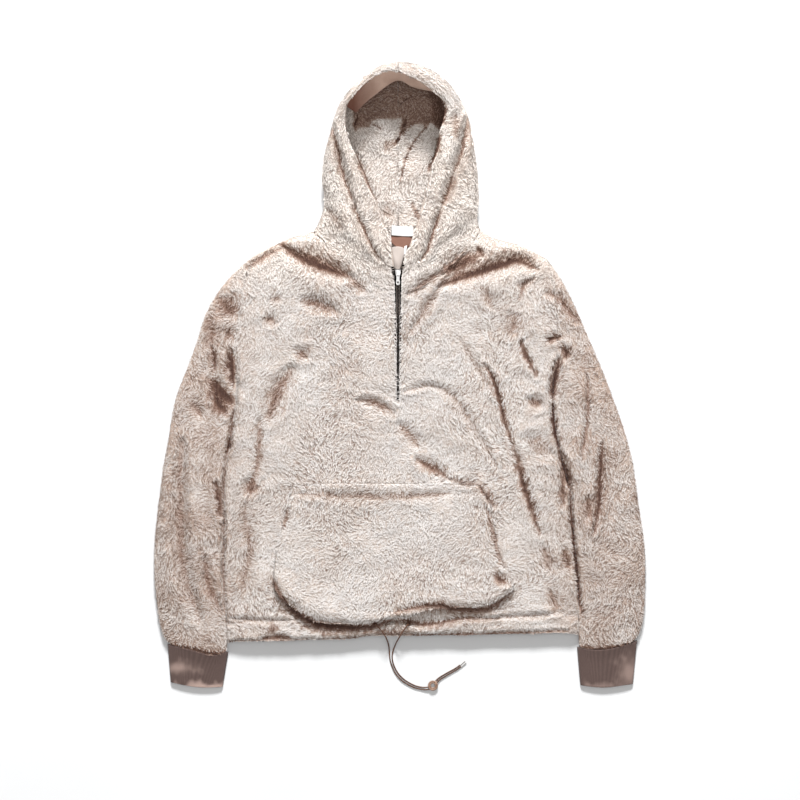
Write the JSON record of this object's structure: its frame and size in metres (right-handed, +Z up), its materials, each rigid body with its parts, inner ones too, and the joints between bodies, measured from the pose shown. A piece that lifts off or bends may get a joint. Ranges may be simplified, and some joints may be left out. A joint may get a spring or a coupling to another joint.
{
  "type": "fleece pullover",
  "caption": "Hooded half-zip pullover of high-pile sherpa fleece with a kangaroo pocket, rib cuffs and a knotted hem drawcord, laid flat on its back.",
  "frame": {"origin": "on the ground, under the middle of the garment's box, its drawcord left out", "axes": "+Z up out of the front, +Y towards the hood, +X towards the picture's right"},
  "size_m": [0.8448, 1.0697, 0.0821],
  "materials": {
    "fleece": "high-pile sherpa",
    "rib_knit": "fine rib knit",
    "facing_knit": "smooth knit",
    "zip_tape": "woven tape",
    "zip_teeth": "dark oxidised",
    "zip_metal": "polished nickel",
    "label": "blank woven tape",
    "cord": "round braid"
  },
  "bodies": {
    "garment": {"front_panel": "fleece", "back_panel": "fleece", "sleeve_left": "fleece", "sleeve_right": "fleece", "cuff_left": "rib_knit", "cuff_right": "rib_knit", "hood_left": "fleece", "hood_right": "fleece", "hood_facing": "facing_knit", "pocket": "fleece", "neck_patch": "rib_knit", "neck_label": "label", "zip_tape_left": "zip_tape", "zip_tape_right": "zip_tape", "zip_teeth": "zip_teeth", "zip_stop": "zip_metal", "zip_slider": "zip_metal", "cord_left": "cord", "cord_right": "cord", "cord_tail_left": "cord", "cord_tail_right": "cord", "cord_knot": "cord"},
    "pull_tab": {"zip_pull": "zip_metal"}
  },
  "joints": [
    {"name": "pull_swing", "type": "hinge", "parent": "garment", "child": "pull_tab", "pos_m": [-0.003, 0.1715, 0.0162], "axis": [-1, 0, 0], "range_deg": [0, 150]}
  ]
}
